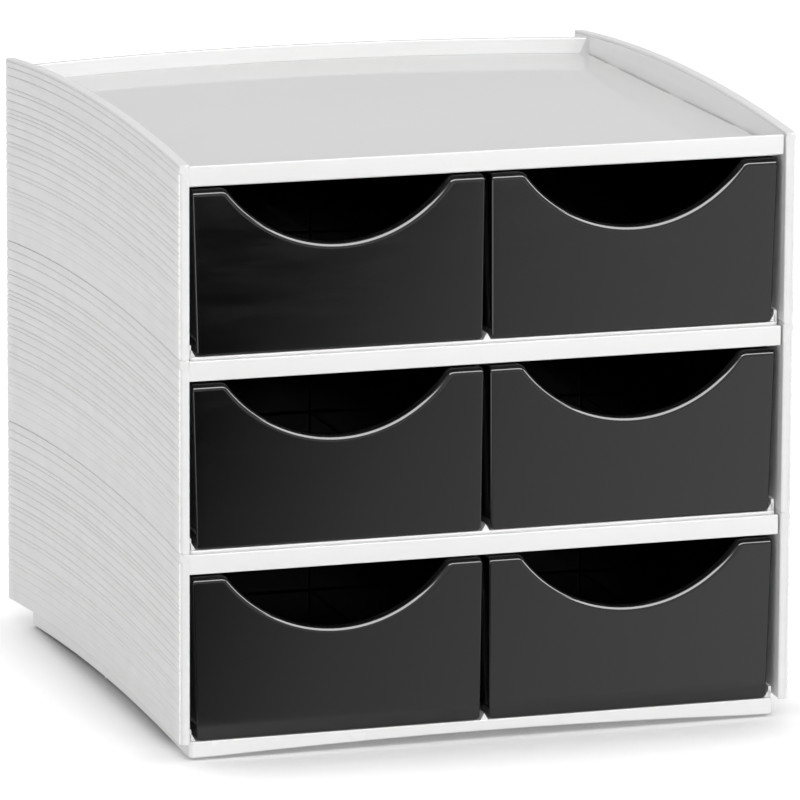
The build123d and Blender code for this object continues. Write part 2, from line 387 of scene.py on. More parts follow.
class Shader:
    """A material's node tree, with the few nodes that the plastics share."""

    def __init__(self, name, colour, roughness, specular=0.5):
        self.material = bpy.data.materials.new(name)
        self.material.use_nodes = True
        self.tree = self.material.node_tree
        self.surface = self.tree.nodes["Principled BSDF"]
        self.surface.inputs["Base Color"].default_value = (*colour, 1)
        self.surface.inputs["Roughness"].default_value = roughness
        self.surface.inputs["Specular IOR Level"].default_value = specular
        self.place = self.tree.nodes.new("ShaderNodeTexCoord").outputs["Object"]

    def noise(self, scale, detail=3.0, stretch=(1, 1, 1)):
        """Noise at the object's own coordinates, scaled along the axes by stretch."""
        place = output(self.tree, "ShaderNodeMapping", [("Vector", self.place), ("Scale", stretch)])
        inputs = [("Vector", place), ("Scale", scale), ("Detail", detail)]
        return connect(self.tree, "ShaderNodeTexNoise", inputs).outputs["Fac"]

    def ramp(self, value, span, dark, light):
        """Colour that runs from dark to light while the value runs through its span."""
        ramp = connect(self.tree, "ShaderNodeValToRGB", [("Fac", value)])
        for stop, position, colour in zip(ramp.color_ramp.elements, span, (dark, light)):
            stop.position = position
            stop.color = (*colour, 1)
        return ramp.outputs["Color"]

    def spread(self, value, low, high):
        """Map a noise value to a number between low and high."""
        return mapped(self.tree, value, noise_span, low, high)

    def mix(self, share, colour, other):
        """Mix another colour into a colour by a share."""
        inputs = [("Factor", share), (6, colour), (7, (*other, 1))]
        return connect(self.tree, "ShaderNodeMix", inputs, data_type="RGBA").outputs[2]

    def wear_and_highlight_edges(self, colour, edge_colour, amount):
        """Mix in an edge colour where the surface is pointed: wear on the glossy plastics, a painted
        highlight on the ribbed sides.
        """
        pointed = self.tree.nodes.new("ShaderNodeNewGeometry").outputs["Pointiness"]
        return self.mix(mapped(self.tree, pointed, wear_and_highlight_span, 0.0, amount), colour, edge_colour)

    def painted_top_light(self, colour, pale_colour):
        """Mix in a paler colour where the surface faces up: painted light on the tops."""
        upward = coordinates(self.tree, "Normal")["Z"]
        return self.mix(mapped(self.tree, upward, upward_span), colour, pale_colour)

    def bump(self, *heights):
        """Bump from pairs of a value and its height in metres."""
        below = []
        for value, height in heights:
            inputs = [("Strength", 1.0), ("Distance", height), ("Height", value)]
            normal = connect(self.tree, "ShaderNodeBump", inputs + below).outputs["Normal"]
            below = [("Normal", normal)]
        self.tree.links.new(normal, self.surface.inputs["Normal"])

    def colour(self, value):
        """Let a value set the surface's colour."""
        self.tree.links.new(value, self.surface.inputs["Base Color"])

    def roughness(self, value):
        """Let a value set the surface's roughness."""
        self.tree.links.new(value, self.surface.inputs["Roughness"])


def grey(tone):
    """Neutral colour of a tone."""
    return (tone, tone, tone)


def glossy_white(name, roughness):
    """Polished white moulded plastic with a faint flow pattern and rubbed edges."""
    white = polished_white
    shader = Shader(name, grey(white), roughness)
    dark = (white * 0.975, white * 0.975, white * 0.97)
    tint = shader.ramp(shader.noise(9.0, 4.0), tint_span, dark, grey(white))
    shader.colour(shader.wear_and_highlight_edges(tint, (white * 0.94, white * 0.94, white * 0.93), 0.5))
    shader.roughness(shader.spread(shader.noise(60.0), roughness * 0.8, roughness * 1.25))
    shader.bump((shader.noise(420.0, 2.0), 0.000004), (shader.noise(14.0, 1.0), 0.00003))
    return shader.material


def ribbed_white():
    """Satin white moulded plastic of the ribbed sides, with streaks along the sheets, painted light on the
    tops and a painted highlight on pointed edges.
    """
    white = side_tone
    shader = Shader("satin ribbed white", grey(white), 0.42, specular=0.35)
    dark = (white * 0.965, white * 0.965, white * 0.96)
    tint = shader.ramp(shader.noise(40.0, 4.0, (1, 0.12, 6)), tint_span, dark, grey(white))
    # Painted light: faces that point up are mixed to a paler tone.
    tint = shader.painted_top_light(tint, grey(side_painted_top_tone))
    # Painted highlight: pointed edges are mixed to a lighter tone.
    shader.colour(shader.wear_and_highlight_edges(tint, grey(side_painted_highlight_tone), 0.7))
    shader.roughness(shader.spread(shader.noise(80.0), 0.36, 0.5))
    shader.bump((shader.noise(900.0, 2.0), 0.000012), (shader.noise(120.0, 3.0, (1, 0.1, 4)), 0.00002))
    return shader.material


def glossy_black():
    """Polished black plastic of the drawers, with a faint orange peel and fine rubbing marks."""
    shader = Shader("glossy black drawer", (0.002, 0.002, 0.0022), 0.1)
    tint = shader.ramp(shader.noise(7.0), tint_span, (0.0016, 0.0016, 0.0018), (0.0026, 0.0026, 0.0028))
    shader.colour(shader.wear_and_highlight_edges(tint, (0.03, 0.03, 0.031), 0.5))
    shader.roughness(shader.spread(shader.noise(30.0, 5.0, (1, 1, 5)), 0.07, 0.14))
    shader.bump((shader.noise(500.0, 2.0), 0.000002), (shader.noise(10.0, 1.0), 0.00003))
    return shader.material


def foot_rubber():
    """Dull black rubber."""
    shader = Shader("foot rubber", grey(0.03), 0.75)
    grain = shader.noise(1800.0)
    shader.colour(shader.ramp(grain, noise_span, grey(0.02), grey(0.045)))
    shader.roughness(shader.spread(grain, 0.65, 0.85))
    shader.bump((grain, 0.00003))
    return shader.material


deck_white = glossy_white("glossy white deck", deck_roughness)
shell_white = glossy_white("glossy white shell", shell_roughness)
side_white = ribbed_white()
drawer_black = glossy_black()
rubber = foot_rubber()


# Ribbed side panels: a plain board, and a stack of sheets laid on its outer face


def stored_number(tree, name):
    """Number that is stored on the points under a name."""
    return output(tree, "GeometryNodeInputNamedAttribute", [("Name", name)], data_type="FLOAT")


def sheet_stack_tree():
    """Node tree that lays one rounded strip per marked point along the arched panel."""
    tree = bpy.data.node_groups.new("sheet stack", "GeometryNodeTree")
    interface = tree.interface
    interface.new_socket("Geometry", in_out="INPUT", socket_type="NodeSocketGeometry")
    sizes = ("Sheet Length", "Sheet Depth", "Edge Radius", "Arch Rise", "Arch Radius", "Sheet Slip")
    for name in (*sizes, "Outwards"):
        interface.new_socket(name, in_out="INPUT", socket_type="NodeSocketFloat")
    interface.new_socket("Stations", in_out="INPUT", socket_type="NodeSocketInt")
    interface.new_socket("Material", in_out="INPUT", socket_type="NodeSocketMaterial")
    interface.new_socket("Geometry", in_out="OUTPUT", socket_type="NodeSocketGeometry")
    given = tree.nodes.new("NodeGroupInput").outputs

    height = stored_number(tree, "sheet_height")
    marked = calculate(tree, "GREATER_THAN", height, 0.0)
    inputs = [("Geometry", given["Geometry"]), ("Selection", marked)]
    parts = connect(tree, "GeometryNodeSeparateGeometry", inputs).outputs

    half = product(tree, given["Sheet Length"], 0.5)
    start = output(tree, "ShaderNodeCombineXYZ", [("Y", product(tree, half, -1.0))])
    end = output(tree, "ShaderNodeCombineXYZ", [("Y", half)])
    line = output(tree, "GeometryNodeCurvePrimitiveLine", [("Start", start), ("End", end)])
    path = output(tree, "GeometryNodeResampleCurve", [("Curve", line), ("Count", given["Stations"])])
    upright = output(tree, "GeometryNodeSetCurveNormal", [("Curve", path)], mode="Z_UP")
    inputs = [("Width", given["Sheet Depth"]), ("Height", strip_height)]
    profile = output(tree, "GeometryNodeCurvePrimitiveQuadrilateral", inputs)
    inputs = [("Curve", profile), ("Count", 3), ("Radius", given["Edge Radius"])]
    rounded = output(tree, "GeometryNodeFilletCurve", inputs, mode="POLY")
    inputs = [("Curve", upright), ("Profile Curve", rounded), ("Fill Caps", True)]
    strip = output(tree, "GeometryNodeCurveToMesh", inputs)
    local = tree.nodes.new("GeometryNodeInputPosition").outputs[0]
    local_parts = connect(tree, "ShaderNodeSeparateXYZ", [(0, local)]).outputs
    side = calculate(tree, "SIGN", local_parts["Z"])
    inputs = [("Geometry", strip), ("Name", "upper_side"), ("Value", side)]
    strip = output(tree, "GeometryNodeStoreNamedAttribute", inputs, data_type="FLOAT")

    inputs = [(2, 0.0), (3, 1.0), ("Seed", slip_seed)]
    slip = connect(tree, "FunctionNodeRandomValue", inputs, data_type="FLOAT").outputs[1]
    pull = product(tree, product(tree, slip, given["Sheet Slip"]), given["Outwards"])
    shift = output(tree, "ShaderNodeCombineXYZ", [("X", product(tree, pull, -1.0))])
    places = output(tree, "GeometryNodeSetPosition", [("Geometry", parts["Selection"]), ("Offset", shift)])
    stack = output(tree, "GeometryNodeInstanceOnPoints", [("Points", places), ("Instance", strip)])
    stack = output(tree, "GeometryNodeRealizeInstances", [("Geometry", stack)])

    upper = stored_number(tree, "upper_side")
    growth = product(tree, calculate(tree, "SUBTRACT", height, strip_height), 0.5)
    stretch = product(tree, upper, growth)
    along = local_parts["Y"]
    square = product(tree, given["Arch Radius"], given["Arch Radius"])
    drop = calculate(tree, "SUBTRACT", square, product(tree, along, along))
    base = calculate(tree, "SUBTRACT", given["Arch Radius"], given["Arch Rise"])
    arch = calculate(tree, "SUBTRACT", calculate(tree, "SQRT", drop), base)
    offset = output(tree, "ShaderNodeCombineXYZ", [("Z", calculate(tree, "ADD", stretch, arch))])
    stack = output(tree, "GeometryNodeSetPosition", [("Geometry", stack), ("Offset", offset)])

    joined = tree.nodes.new("GeometryNodeJoinGeometry")
    tree.links.new(parts["Inverted"], joined.inputs[0])
    tree.links.new(stack, joined.inputs[0])
    inputs = [("Geometry", joined.outputs[0]), ("Material", given["Material"])]
    finished = output(tree, "GeometryNodeSetMaterial", inputs)
    tree.links.new(finished, tree.nodes.new("NodeGroupOutput").inputs[0])
    return tree


def bead_groove(face, high, depth):
    """Fine groove under the rim on one face, from the lower to the upper edge."""
    middle = high - bead_height
    edge = bead_groove_width / 2
    return [(face, middle - edge), (face + depth, middle), (face, middle + edge)]


def board_section(low, high, first_groove, rim, near, far):
    """Section of a panel board with near and far moved in from its two faces."""
    groove = sheet_edge_radius
    thickness = half_width - panel_inner
    radius = min(rim, rim_share * (thickness - groove - near - far))
    depth = 0.0
    if rim == open_rim_radius:
        depth = min(bead_groove_depth, bead_groove_share * (thickness - near - far))
    foot = panel_rim_radius
    section = [(near, low + foot), (near + foot, low)]
    face = thickness - far
    section += [(face - groove - foot, low), (face - groove, low + foot)]
    section += arc_points((face - groove, first_groove + groove), groove, -90, 0, 4)
    section += bead_groove(face, high, -depth)
    section += arc_points((face - radius, high - radius), radius, 0, 90, 5)
    section += arc_points((near + radius, high - radius), radius, 90, 180, 5)
    section += bead_groove(near, high, depth)[::-1]
    return section


def board_shell(sign, low, high, first_groove, rim):
    """Panel board with arched edges, set in behind the sheets; its upper rim is the first sheet."""
    radius = panel_outer_radius
    reach = half_depth - radius
    corner = [(radius - back, radius - inset) for back, inset in arc_points((0, 0), radius, 0, 90, 8)]
    ends = [(back, rounding(back, panel_edge_radius), inset) for back, inset in corner]
    stations = [(back - half_depth, near, far) for back, near, far in ends]
    stations += [(y, 0.0, 0.0) for y in spread(-reach, reach, sheet_stations)[1:-1]]
    stations += [(half_depth - back, near, far) for back, near, far in ends[::-1]]
    rings = []
    for y, near, far in stations:
        lift = arch_height(y, panel_arch)
        section = board_section(low, high, first_groove, rim, near, far)
        rings.append([(sign * (panel_inner + x), y, z + lift) for x, z in section])
    return loft(rings)


def ribbed_panel(side, level, tree):
    """One side panel: its board and its stack of sheets, as one mesh."""
    sign = side_signs[side]
    node = f"{side}_panel_{level}"
    low_corner, high_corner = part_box(node)
    low = low_corner.z
    high = high_corner.z - panel_arch
    if level != module_names[0]:
        low -= seam_cover

    layer_height = (high - low) / sum(sheet_layers)
    sheet_top = high - sheet_layers[0] * layer_height
    rim = open_rim_radius if level == module_names[-1] else panel_rim_radius
    form = bmesh.new()
    add_shell(form, board_shell(sign, low, high, sheet_top, rim), 0.0)
    marks = form.verts.layers.float.new("sheet_height")
    for layers in sheet_layers[1:]:
        sheet_low = sheet_top - layers * layer_height
        depth_share = (high - sheet_low) / (high - low)
        merge = merge_at_foot * depth_share**merge_power
        lower = max(sheet_low - merge, low + sheet_margin)
        place = form.verts.new((sign * (half_width - sheet_depth / 2), 0, (sheet_top + merge + lower) / 2))
        place[marks] = sheet_top + merge - lower
        sheet_top = sheet_low
    draft = new_object(node + "_input", mesh_of(form, node + "_input"))

    modifier = draft.modifiers.new("sheet stack", "NODES")
    modifier.node_group = tree
    values = {
        "Sheet Length": 2 * (half_depth - panel_end_inset),
        "Sheet Depth": sheet_depth,
        "Edge Radius": sheet_edge_radius,
        "Arch Rise": panel_arch,
        "Arch Radius": (half_depth**2 + panel_arch**2) / (2 * panel_arch),
        "Sheet Slip": sheet_slip,
        "Outwards": float(sign),
        "Stations": sheet_stations,
        "Material": side_white,
    }
    for item in tree.interface.items_tree:
        if item.in_out == "INPUT" and item.name in values:
            modifier[item.identifier] = values[item.name]
    bpy.context.view_layer.update()
    ready = draft.evaluated_get(bpy.context.evaluated_depsgraph_get())
    result = bpy.data.meshes.new_from_object(ready)
    draft.modifiers.remove(modifier)
    bpy.data.objects.remove(draft)
    result.name = f"ribbed_{side}_panel_{level}"
    seat(finish_mesh(result, side_white), "housing", node)


# Decks


def deck_profile(x, relieved, inset):
    """Ring in the side view of a deck at the place x, without its rear rim; inset rounds the strip's ends."""
    rear = bow_line(deck_half, rear_rim_wall) if relieved else bow_line(x, rear_rim_wall / 2)
    front = strip_front + inset
    top = strip_top - inset
    fillet = corner_fillet
    lower = strip_lower_radius
    upper = strip_top_radius
    ring = arc_points((front + lower, deck_bottom + lower), lower, 270, 180, 3)
    ring += arc_points((front + upper, top - upper), upper, 180, 90, 4)
    ring += arc_points((strip_back - upper, top - upper), upper, 90, 0, 4)
    ring += arc_points((strip_back + fillet, deck_top + fillet), fillet, 180, 270, 3)
    ring += [(rear, deck_top), (rear, deck_bottom)]
    rib_front = strip_back + stop_rib_inset
    rib_back = rib_front + stop_rib_wall
    ring += [(rib_back, deck_bottom), (rib_back, deck_low.z)]
    ring += [(rib_front, deck_low.z), (rib_front, deck_bottom)]
    return [(x, y, z) for y, z in ring]


def deck_shell():
    """Floor, front strip and stop rib of the lowest deck."""
    relief = deck_half - rim_notch
    radius = strip_end_radius
    left, right = [deck_half + overhang - radius for overhang in strip_overhangs]
    corner = [(x, radius - inset) for inset, x in arc_points((0, 0), radius, 0, 90, 4)]
    stations = [(-left - x, True, inset) for x, inset in corner[::-1]] + [(-relief, True, 0.0)]
    stations += [(x, False, 0.0) for x in spread(-relief, relief, bow_steps)]
    stations += [(relief, True, 0.0)] + [(right + x, True, inset) for x, inset in corner]
    return loft([deck_profile(*station) for station in stations])


def rear_rim_shell():
    """Bowed rear upstand with slanted ends."""
    low = deck_bottom
    straight = rim_top - rear_rim_radius
    gap = rim_foot_gap
    radius = rear_rim_radius
    section = [(rear_rim_wall - gap, low), (rear_rim_wall - gap, deck_top + gap / 2)]
    section += [(rear_rim_wall, deck_top + gap), (rear_rim_wall, straight)]
    section += arc_points((rear_rim_wall - radius, straight), radius, 0, 90, 8)[1:]
    section += [(radius - y, straight + z) for y, z in arc_points((0, 0), radius, 0, 90, 8)[::-1]]
    section += [(0.0, deck_top), (0.0, low)]
    slope = (rim_notch - rim_end_gap) / (rim_top - deck_top)
    rings = []
    for share in spread(-1, 1, rear_steps):
        ring = []
        for inset, z in section:
            end = deck_half - rim_notch + max(0.0, z - deck_top) * slope
            x = share * end
            ring.append((x, bow_line(x, inset), z))
        rings.append(ring)
    return loft(rings)


def side_tongues(z, sign):
    """Three tongues on one long side."""
    shells = []
    for step in (-1, 0, 1):
        y = step * side_tongue_pitch
        height = z + arch_height(y, panel_arch) if z < deck_bottom else z
        low = (sign * (deck_half - base_wall / 2), y - tongue_length / 2, height - tongue_wall / 2)
        high = (sign * (panel_inner + tongue_reach), y + tongue_length / 2, height + tongue_wall / 2)
        shells.append(block(low, high))
    return shells


def make_deck(level, lift):
    """Deck with its front strip, rear rim, stop rib and side tongues."""
    parts = with_bevel([deck_shell(), rear_rim_shell()], 0.0)
    for sign in (-1, 1):
        parts += with_bevel(side_tongues(deck_top - deck_floor / 2, sign))
    white_piece(f"deck_{level}", lifted(parts, lift), deck_white)


# Base trays


def base_outline(inset):
    """Plan outline of a base moved inwards: rounded front corners, bowed rear."""
    half = deck_half - inset
    front = base_front + inset
    radius = max(base_corner_radius - inset, base_least_radius)
    right = half - radius
    near = front + radius
    rear = bow_line(half, base_inset + inset)
    points = [(x, front) for x in spread(-right, right, front_steps)]
    points += arc_points((right, near), radius, -90, 0, 5)[1:]
    points += [(half, y) for y in spread(near, rear, side_steps)[1:]]
    points += [(x, bow_line(x, base_inset + inset)) for x in spread(half, -half, bow_steps)[1:]]
    points += [(-half, y) for y in spread(rear, near, side_steps)[1:]]
    points += arc_points((-right, near), radius, 180, 270, 5)[1:-1]
    return points


def arch_share(place, start, end, rise):
    """Height of a flat arch that spans from start to end, at a place on it."""
    if not start < place < end:
        return 0.0
    half = (end - start) / 2
    radius = (half**2 + rise**2) / (2 * rise)
    return math.sqrt(radius**2 - (place - (start + end) / 2) ** 2) - (radius - rise)


def base_foot(x, y):
    """Height of the skirt's lower edge, arched along the front, the rear and the sides."""
    if abs(x) > deck_half - 2 * base_wall:
        rear = bow_line(deck_half, base_inset)
        return skirt_lift + arch_share(y, base_front + arch_land, rear - arch_land, side_arch)
    return skirt_lift + arch_share(x, arch_land - deck_half, deck_half - arch_land, front_arch)


def base_shell():
    """Plate and skirts of a base, as one shell from the top, down the outside and up the inside."""
    edge = base_edge_radius
    floor = module_floor
    rings = []
    for back, rise in arc_points((0, 0), edge, 90, 0, 3):
        rings.append([(x, y, base_top - edge + rise) for x, y in base_outline(edge - back)])
    for inset, rise in ((0.0, edge), (edge, 0.0), (base_wall - edge, 0.0), (base_wall, edge)):
        rings.append([(x, y, floor + base_foot(x, y) + rise) for x, y in base_outline(inset)])
    rings.append([(x, y, plate_bottom) for x, y in base_outline(base_wall)])
    return loft(rings)


def base_wall_shell(sign):
    """Low side wall on the plate, with an arched top."""
    outer = sign * (deck_half - side_wall_gap)
    inner = sign * (deck_half - side_wall)
    root = base_top - base_plate / 2
    end = bow_line(deck_half, base_inset) - base_edge_radius
    outline = [(base_front + base_corner_radius, root)]
    for y in spread(base_front + base_corner_radius, end, wall_steps):
        outline.append((y, panel_foot + side_wall_rise + arch_height(y, panel_arch)))
    outline += [(end, root)]
    return loft([[(x, y, z) for y, z in outline] for x in (inner, outer)])


def gusset_shell(sign):
    """Slanted foot along the inside of a side wall."""
    face = deck_half - side_wall
    root = base_top - base_plate / 2
    foot = face - gusset_width
    middle = face + side_wall / 2
    crest = base_top + gusset_height
    section = [(middle, root), (foot, root), (foot, base_top), (face, crest), (middle, crest)]
    rear = bow_line(deck_half, base_inset + back_inset + back_wall) - back_inset
    return loft([[(sign * x, y, z) for x, z in section] for y in (base_front + base_corner_radius, rear)])


def base_ridge_shell():
    """Pointed centre rib between the drawers' fronts."""
    half = centre_rib_width / 2
    root = base_top - base_plate / 2
    crest = base_top + centre_rib_height
    section = [(-half, root), (-half, base_top), (0, crest), (half, base_top), (half, root)]
    front = base_front + base_edge_radius / 2
    back = base_front + centre_rib_length
    return loft([[(x, y, z) for x, z in section] for y in (front, back)])


def foot_places():
    """Places of the four feet, read from the frame."""
    low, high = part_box("feet")
    radius = foot_diameter / 2
    return [(x, y) for x in (low.x + radius, high.x - radius) for y in (low.y + radius, high.y - radius)]


def disc_shell(x, y, radius, low, high, edge):
    """Short cylinder with a rounded lower edge."""
    steps = [(radius - edge + r, low + edge - z) for r, z in arc_points((0, 0), edge, 90, 0, 4)]
    steps.append((radius, high))
    return loft([[(*point, z) for point in arc_points((x, y), r, 0, 360, disc_steps)[:-1]] for r, z in steps])


def make_base(level, lift):
    """Base tray with side walls, centre rib, stiffeners, bosses and tongues."""
    parts = with_bevel([base_shell()], 0.0)
    for sign in (-1, 1):
        parts += with_bevel([base_wall_shell(sign)])
        parts += with_bevel([gusset_shell(sign)], thin_edge_radius / 2)
        parts += with_bevel(side_tongues(panel_foot + side_wall_rise / 2, sign))
    ribs = [base_ridge_shell()]
    low = plate_bottom - stiffener_drop
    high = plate_bottom + base_plate / 2
    half = stiffener_wall / 2
    front = base_front + base_wall / 2
    for x in (-stiffener_offset, 0, stiffener_offset):
        rear = bow_line(x, base_inset + base_wall / 2)
        ribs.append(block((x - half, front, low), (x + half, rear, high)))
    reach = deck_half - base_wall / 2
    ribs.append(block((-reach, -half, low), (reach, half, high)))
    parts += with_bevel(ribs)
    for x, y in foot_places():
        boss = disc_shell(x, y, boss_diameter / 2, module_floor, high, thin_edge_radius)
        parts += with_bevel([boss], 0.0)
    white_piece(f"base_{level}", lifted(parts, lift), shell_white)


# Back walls, dividers and feet


def make_back_wall(level, lift):
    """Bowed wall between base and deck."""
    outer = base_inset + back_inset
    inner = outer + back_wall
    half = deck_half - base_wall - back_inset
    rings = []
    for x in spread(-half, half, rear_steps):
        ring = [(outer, base_top), (outer, deck_bottom), (inner, deck_bottom), (inner, base_top)]
        rings.append([(x, bow_line(x, inset), z) for inset, z in ring])
    white_piece(f"back_wall_{level}", lifted(with_bevel([loft(rings)], 0.0), lift), shell_white)


def make_divider(level):
    """Thin wall between the drawers of a module."""
    node = f"divider_{level}"
    low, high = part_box(node)
    low.y += divider_setback
    low.z += tongue_reach
    high.z -= tongue_reach / 2
    white_piece(node, with_bevel([block(low, high)]), shell_white)


def make_feet():
    """Four round rubber feet."""
    low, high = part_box("feet")
    discs = [disc_shell(x, y, foot_diameter / 2, low.z, high.z, foot_edge_radius) for x, y in foot_places()]
    make_piece("rubber_feet", with_bevel(discs, 0.0), rubber, "housing", "feet")


# Drawers


class DrawerShape:
    """Sizes of one drawer, read from its node, and the rings that make it."""

    def __init__(self, low, high):
        self.centre = (low.x + high.x) / 2
        self.half = (high.x - low.x) / 2
        self.front = low.y
        self.rear = high.y
        self.bottom = low.z
        self.top = high.z - lug_height

    def shrink(self, z):
        """How far the drafted walls have moved in at a height."""
        return (self.top - z) * math.tan(drawer_draft)

    def rim_outline(self, reach):
        """Upper edge of the front in the front view: points and the direction into the material."""
        round_z = self.top - cutout_corner_radius
        centre_z = self.top - cutout_depth + cutout_radius
        round_x = math.sqrt((cutout_radius + cutout_corner_radius) ** 2 - (centre_z - round_z) ** 2)
        touch = math.degrees(math.atan2(round_x, centre_z - round_z))
        points = [((x, self.top), (0.0, -1.0)) for x in spread(-reach, -round_x, 3)]
        points += self.brow(-round_x, round_z, spread(90, 90 - touch, 8)[1:])
        for angle in spread(-touch, touch, bow_steps)[1:-1]:
            turn = math.radians(angle)
            ray = (math.sin(turn), -math.cos(turn))
            points.append(((cutout_radius * ray[0], centre_z + cutout_radius * ray[1]), ray))
        points += self.brow(round_x, round_z, spread(90 + touch, 90, 8)[:-1])
        points += [((x, self.top), (0.0, -1.0)) for x in spread(round_x, reach, 3)]
        return points

    def brow(self, centre_x, centre_z, angles):
        """Rounded corner between the top edge and the cut-out."""
        points = []
        for angle in angles:
            ray = (math.cos(math.radians(angle)), math.sin(math.radians(angle)))
            place = (centre_x + cutout_corner_radius * ray[0], centre_z + cutout_corner_radius * ray[1])
            points.append((place, (-ray[0], -ray[1])))
        return points

    def around(self, z, side, near, far, radius):
        """Rest of a ring at a height: right corner, side, rear, left side and left corner."""
        half = self.half - self.shrink(z) - side
        front = self.front + near
        rear = self.rear - far
        right = half - radius
        low = front + radius
        high = rear - radius
        points = arc_points((right, low), radius, -90, 0, 6)[1:]
        points += [(half, y) for y in spread(low, high, 8)[1:]]
        points += arc_points((right, high), radius, 0, 90, 6)[1:]
        points += [(x, rear) for x in spread(right, -right, 6)[1:]]
        points += arc_points((-right, high), radius, 90, 180, 6)[1:]
        points += [(-half, y) for y in spread(high, low, 8)[1:]]
        points += arc_points((-right, low), radius, 180, 270, 6)[1:-1]
        return [(x, y, z) for x, y in points]

    def level_ring(self, z, side, ends, radius):
        """Ring at one height; side and ends are its insets along X and Y."""
        reach = self.half - self.shrink(z) - side - radius
        ring = [(point[0], self.front + ends, z) for point, _ in self.rim_outline(reach)]
        return ring + self.around(z, side, ends, ends, radius)

    def rim_ring(self, drop, side, near):
        """Ring that follows the rim, moved into the material by drop; side and near are its insets."""
        z = self.top - drop
        radius = drawer_edge_radius
        ring = []
        for point, into in self.rim_outline(self.half - self.shrink(z) - side - radius):
            ring.append((point[0] + drop * into[0], self.front + near, point[1] + drop * into[1]))
        return ring + self.around(z, side, near, side, radius)

    def shell(self):
        """Whole tub with a rolled front rim, as one closed shell."""
        rings = []
        for share in spread(0, 1, 8):
            height = drawer_bottom_radius * share**2
            side = rounding(height, drawer_bottom_radius)
            ends = rounding(height, drawer_edge_radius)
            radius = max(drawer_edge_radius - ends, drawer_least_radius)
            rings.append(self.level_ring(self.bottom + height, side, ends, radius))
        edge = rim_edge_radius
        side_share = side_rim_radius / edge
        for near, height in arc_points((0, 0), edge, 0, 90, 7):
            depth = edge - near
            rings.append(self.rim_ring(edge - height, depth * side_share, depth))
        back = rim_back_radius
        wall = drawer_wall
        for depth, height in arc_points((-back, 0), back, 90, 0, 3):
            rings.append(self.rim_ring(back - height, wall + depth, rim_roll + depth))
        under = [(rim_thickness - back, rim_roll), (rim_thickness, rim_roll - back)]
        under += [(rim_thickness, wall + back), (rim_thickness + back, wall)]
        for drop, near in under:
            rings.append(self.rim_ring(drop, wall, near))
        inner = drawer_inner_radius
        floor = self.bottom + wall
        for near, height in arc_points((0, 0), inner, 0, 90, 5):
            inset = wall + inner - near
            rings.append(self.level_ring(floor + inner - height, inset, inset, drawer_edge_radius))
        corners, faces = loft(rings)
        lean = -math.copysign(math.tan(drawer_lean), self.centre)
        moved = [corner + Vector((self.centre + lean * (self.top - corner.z), 0, 0)) for corner in corners]
        return moved, faces


def make_drawer(level, side, lug_place):
    """One-piece drawer with its stop lugs."""
    node = f"drawer_{level}_{side}"
    shape = DrawerShape(*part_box(node))
    parts = with_bevel([shape.shell()], 0.0)
    for sign in (-1, 1):
        outer = shape.centre + sign * shape.half
        inner = outer - sign * drawer_wall
        low = (inner, lug_place, shape.top - lug_root)
        high = (outer, lug_place + lug_length, shape.top + lug_height)
        parts += with_bevel([block(low, high)])
    make_piece("black_" + node, parts, drawer_black, node, node)


travel = frame["joints"][0]["range_m"][1]
lug_place = strip_back + stop_rib_inset + stop_rib_wall + travel + lug_stop_gap
stack_tree = sheet_stack_tree()
for number, level in enumerate(module_names):
    lift = number * module_pitch
    make_base(level, lift)
    make_deck(level, lift)
    make_back_wall(level, lift)
    make_divider(level)
    for side in side_signs:
        ribbed_panel(side, level, stack_tree)
        make_drawer(level, side, lug_place)
make_feet()


# Stage, light and camera

# World: strength of its light, how much it falls towards the top, and its tones seen and mirrored
ambient = 0.87
ambient_fall = 0.14
background_white = 1.0
mirrored_white = 0.97

# Floor: its tones, the shade close to the box, and the glow under the front edge; the turns are
# the places along Y between which the front's values change to the sides'
floor_size = 14.0
floor_level = -0.0001
floor_grey = 0.8
floor_white = 1.5
shade_samples = 8
shade_reach = 0.06
side_shade = 0.42
front_shade = 0.8
shade_turn = (-0.142, -0.115)
under_reach = 0.012
under_glow = 0.4
under_power = 1.5
under_turn = (-0.12, -0.095)

# Bright card above the front: sides along X, near and far edge as Y and Z
overhead_glow = 13.0
overhead_sides = (-1.6, 2.8)
overhead_near = (-2.5, 1.75)
overhead_far = (-0.9, 2.8)

# Upright cards, a bright one on the right and a grey one behind: ends as X and Y, and heights
right_glow = 11.0
right_ends = ((2.6, -1.4), (2.6, 1.2))
right_heights = (0.6, 2.2)
rear_tone = 0.69
rear_ends = ((-0.6, 2.5), (2.2, 2.5))
rear_heights = (0.1, 1.9)

# Fading card on the floor before the box; its tones run along X, slanted by Y, across card_span
card_sides = (-1.3, 0.9)
card_near = (-0.19, 0.0008)
card_far = (-1.8, 0.0008)
card_slant = 0.4
card_shift = 0.198
card_span = (-0.45, 0.3)
card_strength = 3.0
card_tones = (
    (0.0, 1.0), (0.13, 0.7), (0.3, 0.01), (0.52, 0.015), (0.6, 0.12), (0.68, 0.25), (0.76, 0.32), (1.0, 0.48)
)

# Lamps: name, place, target, size and power
lamps = (
    ("front key", (0.1, -2.4, 0.4), (0, -0.1, 0.1), 1.2, 23.5),
    ("left fill", (-2.3, 1.0, 0.8), (-0.14, 0.05, 0.13), 1.6, 3),
)

camera_target = Vector((-0.0409, -0.141, 0.1546))
camera_distance = 3.436
camera_yaw = math.radians(17.97)
camera_pitch = math.radians(12.17)
camera_roll = math.radians(0.27)
camera_lens = 358.9
camera_sensor = 36.0


def seen_directly(tree):
    """1 for camera, glossy and transmission rays, else 0."""
    path = tree.nodes.new("ShaderNodeLightPath").outputs
    first = calculate(tree, "MAXIMUM", path["Is Camera Ray"], path["Is Glossy Ray"])
    return calculate(tree, "MAXIMUM", first, path["Is Transmission Ray"])


